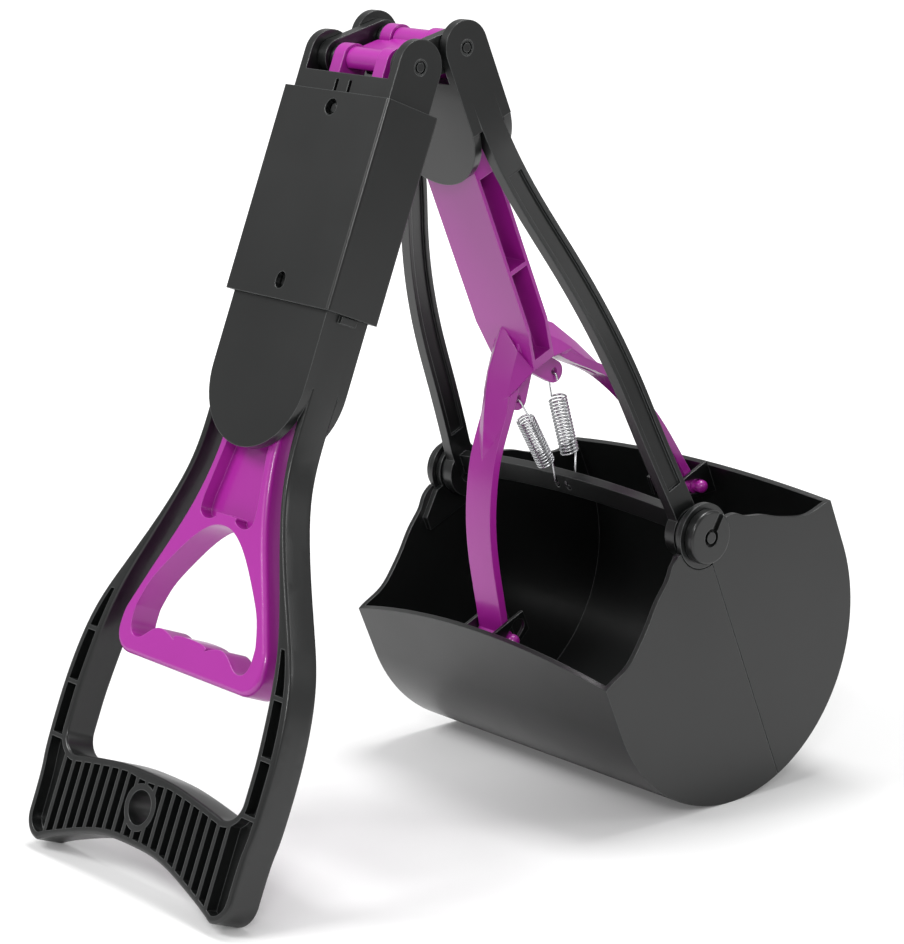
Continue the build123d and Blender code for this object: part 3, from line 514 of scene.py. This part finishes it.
@dataclass
class Studio:
    """Camera, lamps, world and pale floor."""

    azimuth: float = -41.53
    elevation: float = 13.15
    roll: float = 0.97
    distance: float = 1.03428
    target: Triple = (-0.01789, -0.02077, 0.13123)
    focal_px: float = 2952.96
    centre_px: tuple[float, float] = (448.18, 471.54)
    sensor_width: float = 36.0
    clip: tuple[float, float] = (0.01, 50.0)
    floor_size: float = 30.0
    floor_colour: float = 0.80
    floor_rough: float = 0.75
    near: float = 0.25
    near_glow: float = 0.11
    far: float = 1.1
    far_glow: float = 0.9
    fill: float = 0.42
    aim: Triple = (0.0, 0.0, 0.12)
    lamps: tuple[SoftBox, ...] = (
        SoftBox("key_box", (-0.9, 0.35, 1.0), (0.5, 0.5), 9.0),
        SoftBox("top_box", (0.25, 0.1, 1.3), (0.6, 0.6), 11.0),
        SoftBox("side_box", (0.75, -0.95, 0.75), (0.2, 0.7), 2.0),
        SoftBox("front_box", (-0.80, -0.86, 0.72), (0.25, 0.25), 4.0),
    )

    def camera(self) -> None:
        """Place the camera where the photograph was taken from."""
        a, e, r = (math.radians(v) for v in (self.azimuth, self.elevation, self.roll))
        back = Vector((math.sin(a) * math.cos(e), -math.cos(a) * math.cos(e), math.sin(e)))
        right = Vector((math.cos(a), math.sin(a), 0.0))
        up = back.cross(right)
        turned_right = right * math.cos(r) + up * math.sin(r)
        turned_up = up * math.cos(r) - right * math.sin(r)
        data = bpy.data.cameras.new("photo_camera")
        data.sensor_fit = "AUTO"
        data.sensor_width = self.sensor_width
        data.lens = self.focal_px / PHOTO_HEIGHT * data.sensor_width
        data.shift_x = (PHOTO_WIDTH / 2 - self.centre_px[0]) / PHOTO_HEIGHT
        data.shift_y = (self.centre_px[1] - PHOTO_HEIGHT / 2) / PHOTO_HEIGHT
        data.clip_start, data.clip_end = self.clip
        camera = link_object("photo_camera", data)
        turn = Matrix((turned_right, turned_up, back)).transposed()
        stand = Vector(self.target) + back * self.distance
        camera.matrix_world = Matrix.Translation(stand) @ turn.to_4x4()
        bpy.context.scene.camera = camera

    def world(self) -> None:
        """Fill the surroundings with plain light, white where the camera sees them."""
        world = bpy.data.worlds.new("studio_world")
        bpy.context.scene.world = world
        world.use_nodes = True
        wires = Wiring(world.node_tree)
        world.node_tree.nodes.clear()
        out = wires.add("ShaderNodeOutputWorld")
        mix = wires.add("ShaderNodeMixShader")
        fill = wires.add("ShaderNodeBackground", {"Color": WHITE, "Strength": self.fill})
        seen = wires.add("ShaderNodeBackground", {"Color": WHITE, "Strength": 1.0})
        path = wires.add("ShaderNodeLightPath")
        wires.link(path, "Is Camera Ray", mix, "Fac")
        wires.link(fill, "Background", mix, 1)
        wires.link(seen, "Background", mix, 2)
        wires.link(mix, "Shader", out, "Surface")

    def floor(self) -> None:
        """Lay the white floor that keeps the object's shadow."""
        deselect()
        bpy.ops.mesh.primitive_plane_add(size=self.floor_size)
        floor = bpy.context.object
        floor.name = "floor"
        wires, look = Wiring.material("white_floor")
        shader = wires.shader
        shader.inputs["Base Color"].default_value = (self.floor_colour,) * 3 + (1.0,)
        shader.inputs["Roughness"].default_value = self.floor_rough
        shader.inputs["Emission Color"].default_value = WHITE
        path = wires.add("ShaderNodeLightPath")
        place = wires.add("ShaderNodeTexCoord")
        away = wires.calculate("ShaderNodeVectorMath", "LENGTH")
        limits = {
            "From Min": self.near,
            "From Max": self.far,
            "To Min": self.near_glow,
            "To Max": self.far_glow,
        }
        spread = wires.add("ShaderNodeMapRange", limits)
        glow = wires.calculate("ShaderNodeMath", "MULTIPLY")
        wires.link(place, "Object", away, 0)
        wires.link(away, "Value", spread, "Value")
        wires.link(path, "Is Camera Ray", glow, 0)
        wires.link(spread, "Result", glow, 1)
        wires.link(glow, "Value", shader, "Emission Strength")
        floor.data.materials.append(look)

    def build(self) -> None:
        """Set up the whole studio."""
        bpy.context.scene.view_settings.view_transform = "Standard"
        self.camera()
        self.world()
        self.floor()
        for lamp in self.lamps:
            lamp.hang(Vector(self.aim))


def joint_row(name: str) -> dict:
    """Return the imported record's row of one joint."""
    return next(row for row in frame["record"]["behaviour"]["joints"] if row["name"] == name)


@dataclass(frozen=True)
class LimbPlane:
    """The mid plane of one half of the scoop, with u down its length and w across it."""

    origin: Vector
    down: Vector

    @classmethod
    def head(cls) -> "LimbPlane":
        """Work out the bin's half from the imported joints.

        Returns:
            The plane through the head's hinge and the jaws' pivot, with w towards the grip.
        """
        hinge = Vector(joint_row("head_fold")["pos_m"])
        pivot = Vector(joint_row("front_jaw_pivot")["pos_m"])
        return cls(hinge, (pivot - hinge).normalized())

    @classmethod
    def grip(cls) -> "LimbPlane":
        """Return the plane through the grip's hinge, along the sleeve's slide."""
        hinge = Vector(joint_row("link_fold")["pos_m"])
        return cls(hinge, -Vector(joint_row("sleeve_slide")["axis"]).normalized())

    @property
    def out(self) -> Vector:
        """Return the direction of w."""
        return Vector((self.down.z, 0.0, -self.down.x))

    def at(self, u: float, w: float, y: float) -> Vector:
        """Return the place at u, w and y, all in metres."""
        return self.origin + self.down * u + self.out * w + Vector((0.0, y, 0.0))

    def depth(self, place: Vector) -> float:
        """Return how far down the limb a place is, in metres."""
        return (place - self.origin).dot(self.down)


def merged_copy(node_name: str, name: str) -> bpy.types.Object:
    """Copy a CAD node as a piece of its own, with its loose triangles joined.

    Args:
        node_name: The CAD node to copy.
        name: The new piece's name.

    Returns:
        The copy, ready for shaping.
    """
    node = frame["nodes"][node_name]
    mesh = node.data.copy()
    mesh.transform(node.matrix_world)
    piece = link_object(name, mesh)
    activate(piece)
    if mesh.has_custom_normals:
        bpy.ops.mesh.customdata_custom_splitnormals_clear()
    edit_mesh(piece, weld)
    return piece


def put_on(
    piece: bpy.types.Object, node_name: str, look: bpy.types.Material
) -> None:
    """Let a shaped copy stand for its CAD node and dress it.

    Args:
        piece: The shaped copy.
        node_name: The CAD node it stands for.
        look: Its material.
    """
    smooth(piece, COPY_SMOOTH)
    piece.data.materials.clear()
    piece.data.materials.append(look)
    bodies = frame["record"]["behaviour"]["bodies"]
    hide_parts(node_name)
    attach(piece, next(body for body, nodes in bodies.items() if node_name in nodes))


@dataclass
class PalmBar:
    """The grip's palm bar, whose two edges bow as one plain arch each."""

    node: str = "handle_frame"
    name: str = "arched_grip"
    start: float = 228.0 * MM
    inner_edge: float = 252.5 * MM
    inner_reach: float = 42.3 * MM
    inner_drop: float = 6.5 * MM
    inner_bow: float = 4.6 * MM
    outer_edge: float = 278.0 * MM
    outer_reach: float = 50.1 * MM
    outer_drop: float = 12.0 * MM

    def wave(self, share: float) -> float:
        """Return the moulded edge's rise at a share of its reach, from 0 to 1."""
        return share * share * (3.0 - 2.0 * share)

    def shift(self, depth: float, side: float) -> float:
        """Return how far a point of the bar moves along the grip.

        Args:
            depth: How far down the grip the point is.
            side: How far it is from the middle plane.

        Returns:
            The move in metres, down the grip.
        """
        inner_share = min(side / self.inner_reach, 1.0)
        outer_share = min(side / self.outer_reach, 1.0)
        inner_from = self.inner_edge + self.inner_drop * self.wave(inner_share)
        outer_from = self.outer_edge + self.outer_drop * self.wave(outer_share)
        inner_move = self.inner_bow * inner_share**2 - self.inner_drop * self.wave(inner_share)
        outer_move = self.outer_drop * (outer_share**2 - self.wave(outer_share))
        if depth < inner_from:
            share = min(max((depth - self.start) / (inner_from - self.start), 0.0), 1.0)
            return inner_move * self.wave(share)
        share = min((depth - inner_from) / (outer_from - inner_from), 1.0)
        return inner_move + (outer_move - inner_move) * share

    def build(self, plane: LimbPlane, look: bpy.types.Material) -> None:
        """Build the grip with its arched palm bar.

        Args:
            plane: The plane of the grip.
            look: Its material.
        """
        grip = merged_copy(self.node, self.name)
        for vertex in grip.data.vertices:
            vertex.co += plane.down * self.shift(plane.depth(vertex.co), abs(vertex.co.y))
        put_on(grip, self.node, look)


@dataclass
class FrontJaw:
    """The bin's front half, with its lug pads trimmed to the waved edge.

    The trim's corners are u from the pivot and w, in millimetres: the upper two, each from
    the inner w to the outer one, and then the lower two.
    """

    node: str = "front_jaw"
    name: str = "waved_front_jaw"
    pivot_place: float = 191.4 * MM
    pad_inner: float = 62.0 * MM
    pad_outer: float = 66.35 * MM
    trim: tuple[tuple[tuple[float, float], ...], ...] = (
        ((-6.0, 12.6), (-6.0, 24.0)),
        ((1.3, 12.6), (10.6, 24.0)),
    )

    def cutter(self, plane: LimbPlane, hand: Hand) -> bpy.types.Object:
        """Shape the block that trims one pad.

        Args:
            plane: The plane of the head.
            hand: The pad's side.

        Returns:
            The block.
        """
        deselect()
        bpy.ops.mesh.primitive_cube_add(size=1.0)
        block = bpy.context.object
        for vertex in block.data.vertices:
            u, w = self.trim[vertex.co.x > 0][vertex.co.z > 0]
            reach = self.pad_outer if vertex.co.y > 0 else self.pad_inner
            vertex.co = plane.at(self.pivot_place + u * MM, w * MM, hand * reach)
        edit_mesh(block, face_outward)
        return block

    def build(self, plane: LimbPlane, look: bpy.types.Material) -> None:
        """Build the trimmed half.

        Args:
            plane: The plane of the head.
            look: Its material.
        """
        jaw = merged_copy(self.node, self.name)
        for hand in Hand:
            combine(jaw, self.cutter(plane, hand), Change.CUT)
        put_on(jaw, self.node, look)


@dataclass
class ArmFairing:
    """The wishbone's fairing, from the ridge of one arm to the bar's nose, in quarters.

    Its corners are u, w and y in millimetres.
    """

    ridge: tuple[Triple, ...] = ((111.2, 4.8, 0.0), (123.6, 17.4, 0.0), (136.3, 24.9, 0.0))
    flare: tuple[Triple, ...] = (
        (128.9, 5.2, 10.2),
        (128.9, 4.4, 9.8),
        (120.2, 6.8, 6.6),
        (127.8, 13.5, 6.5),
        (133.5, 17.6, 6.5),
        (134.0, 14.5, 6.4),
    )
    tail: tuple[Triple, ...] = (
        (148.9, 31.2, 0.0),
        (157.4, 35.1, 0.0),
        (127.8, 13.5, 6.5),
        (139.3, 20.4, 6.5),
        (150.5, 28.6, 6.4),
        (126.0, 8.5, 6.0),
        (137.0, 16.5, 6.0),
    )
    smooth_angle: float = 12.0

    def quarter(self, plane: LimbPlane, arm: Arm, hand: Hand) -> bpy.types.Object:
        """Shape one quarter.

        Args:
            plane: The plane of the head.
            arm: The quarter's arm of the wishbone.
            hand: The quarter's side.

        Returns:
            The quarter, as one closed block.
        """
        fairing, tail = (
            hull_block([plane.at(u * MM, arm * w * MM, hand * y * MM) for u, w, y in corners])
            for corners in (self.ridge + self.flare, self.ridge[1:] + self.tail)
        )
        combine(fairing, tail, Change.ADD)
        return fairing

    def build(self, plane: LimbPlane, look: bpy.types.Material) -> None:
        """Build the four quarters.

        Args:
            plane: The plane of the head.
            look: Their material.
        """
        for arm in Arm:
            for hand in Hand:
                fairing = self.quarter(plane, arm, hand)
                fairing.name = f"arm_fairing_{arm.name.lower()}_{hand.name.lower()}"
                smooth(fairing, self.smooth_angle)
                fairing.data.materials.append(look)
                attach(fairing, "pull_bar")


@dataclass
class ReturnSpring:
    """One close wound extension spring between the pull bar's ear and the cross bar."""

    name: str
    node: str
    side: Arm
    ear_place: float = 140.0 * MM
    ear_offset: float = 9.8 * MM
    hole_place: float = 183.7 * MM
    hole_step: float = 3.0 * MM
    wire: float = 0.42 * MM
    coil_radius: float = 3.2 * MM
    coil_start: float = 150.4 * MM
    coil_length: float = 22.6 * MM
    turns: int = 17
    end_turn: float = 0.25
    samples: int = 22
    top_bend: float = 2.2 * MM
    low_bend: float = 2.3 * MM
    low_drop: float = 0.8
    tip: float = 1.2 * MM
    bend_steps: int = 10
    round_steps: int = 2
    smooth_angle: float = 50.0

    def bend(self, middle: Vector, across: Vector, along: Vector, radius: float) -> list[Vector]:
        """Return the points of a half turn from one side of a plate to the other.

        Args:
            middle: The centre of the half turn.
            across: The direction of its first leg from the centre.
            along: The direction of its crown.
            radius: Its radius.

        Returns:
            The points, from the first leg to the second.
        """
        turns = [math.pi * step / self.bend_steps for step in range(self.bend_steps + 1)]
        return [
            middle + (across * math.cos(turn) + along * math.sin(turn)) * radius for turn in turns
        ]

    def route(self, plane: LimbPlane) -> list[Vector]:
        """Lay out the wire.

        Args:
            plane: The plane of the head.

        Returns:
            Its points, from the tip of its upper hook to that of its lower one.
        """
        ear = plane.at(self.ear_place, self.side * self.ear_offset, 0.0)
        hole = plane.at(self.hole_place, 0.0, self.side * self.hole_step)
        low = plane.at(self.hole_place, self.side * self.low_bend, self.side * self.hole_step)
        axis = (low - ear).normalized()
        sideways = Vector((0.0, 1.0, 0.0))
        sideways = (sideways - axis * axis.dot(sideways)).normalized()
        inward = axis.cross(sideways)
        top_leg = sideways * -self.side
        crown = ear + axis * self.top_bend
        points = [crown - top_leg * self.top_bend + axis * self.tip]
        points += self.bend(crown, -top_leg, -axis, self.top_bend)
        first = ear + axis * (self.coil_start - self.ear_place)
        begin = math.pi if self.side > 0 else 0.0
        sweep = (self.turns - self.end_turn * self.side) * math.tau
        count = self.turns * self.samples
        for step in range(count + 1):
            turn = begin + sweep * step / count
            reach = sideways * math.cos(turn) + inward * math.sin(turn)
            centre = first + axis * (self.coil_length * step / count)
            points.append(centre + reach * self.coil_radius)
        nadir = hole - plane.down * self.low_bend * self.low_drop
        points += self.bend(nadir, plane.out * self.side, plane.down, self.low_bend)
        points.append(points[-1] - plane.down * self.tip)
        return points

    def tube(self, route: list[Vector]) -> bpy.types.Object:
        """Draw the wire along its route.

        Args:
            route: The wire's points.

        Returns:
            The wire as a closed mesh.
        """
        curve = bpy.data.curves.new(self.name, "CURVE")
        curve.dimensions = "3D"
        curve.bevel_depth = self.wire
        curve.bevel_resolution = self.round_steps
        curve.use_fill_caps = True
        line = curve.splines.new("POLY")
        line.points.add(len(route) - 1)
        for point, place in zip(line.points, route):
            point.co = (*place, 1.0)
        activate(link_object(self.name, curve))
        bpy.ops.object.convert(target="MESH")
        spring = bpy.context.object
        edit_mesh(spring, face_outward)
        smooth(spring, self.smooth_angle)
        return spring

    def build(self, plane: LimbPlane, look: bpy.types.Material) -> None:
        """Build the spring and hang it between its two bodies.

        Args:
            plane: The plane of the head.
            look: The wire's material.
        """
        spring = self.tube(self.route(plane))
        spring.data.materials.clear()
        spring.data.materials.append(look)
        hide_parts(self.node)
        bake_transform(spring)


@dataclass
class CadSet:
    """A sub-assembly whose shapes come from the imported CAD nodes."""

    title: str
    nodes: tuple[str, ...]

    def dress(self, looks: dict[Finish, bpy.types.Material], slots: dict[str, Finish]) -> None:
        """Give each node its material.

        Args:
            looks: The material of each finish.
            slots: The finish of each node.
        """
        for name in self.nodes:
            node = frame["nodes"][name]
            node.data.materials.clear()
            node.data.materials.append(looks[slots[name]])
        LOG.info("%s: %d pieces", self.title, len(self.nodes))


BLACK_PLASTIC = PlasticLook(
    name="black_plastic",
    dark=(0.0052, 0.0058, 0.0057),
    light=(0.0070, 0.0078, 0.0076),
    # Painted edge highlight, much lighter than the black plastic.
    painted_edge_highlight=(0.075, 0.080, 0.080),
    coat=0.20,
)
PURPLE_PLASTIC = PlasticLook(
    name="purple_plastic",
    dark=(0.33, 0.010, 0.27),
    light=(0.40, 0.016, 0.34),
    # Painted edge highlight, lighter than the purple plastic.
    painted_edge_highlight=(0.52, 0.07, 0.46),
    coat=0.45,
)
CAD_SETS = (
    CadSet("grip", ("handle_frame", "handle_hinge_pin_left", "handle_hinge_pin_right")),
    CadSet("lock sleeve", ("lock_sleeve",)),
    CadSet("trigger chain", ("trigger", "chain_link", "chain_pin_lower", "chain_pin_upper")),
    CadSet("hinge links", ("fold_link_left", "fold_link_right")),
    CadSet("head", ("jaw_fork", "head_hinge_pin_left", "head_hinge_pin_right")),
    CadSet(
        "pivots",
        ("pivot_washer_left", "pivot_washer_right", "pivot_button_left", "pivot_button_right"),
    ),
    CadSet("pull bar", ("pull_bar",)),
    CadSet("bin", ("front_jaw", "back_jaw")),
)


def main() -> None:
    """Build the studio and every sub-assembly in turn."""
    logging.basicConfig(level=logging.INFO, format="%(message)s")
    Studio().build()
    effects = Effects(grain=MouldedGrain().build(), edge=EdgeRoundingAndHighlight().build())
    looks = {
        Finish.BLACK: BLACK_PLASTIC.build(effects),
        Finish.PURPLE: PURPLE_PLASTIC.build(effects),
        Finish.STEEL: SteelLook().build(effects),
    }
    slots = {row["node"]: Finish(row["material_slot"]) for row in frame["record"]["subparts"]}
    for group in CAD_SETS:
        group.dress(looks, slots)
    PalmBar().build(LimbPlane.grip(), looks[Finish.BLACK])
    LOG.info("palm bar arched")
    plane = LimbPlane.head()
    FrontJaw().build(plane, looks[Finish.BLACK])
    LOG.info("front jaw trimmed")
    ArmFairing().build(plane, looks[Finish.PURPLE])
    LOG.info("arm fairings: 4 pieces")
    for side in Arm:
        name = side.name.lower()
        spring = ReturnSpring(f"hooked_spring_{name}", f"return_spring_{name}", side)
        spring.build(plane, looks[Finish.STEEL])
        LOG.info("return spring: %s", name)


if __name__ == "__main__":
    main()
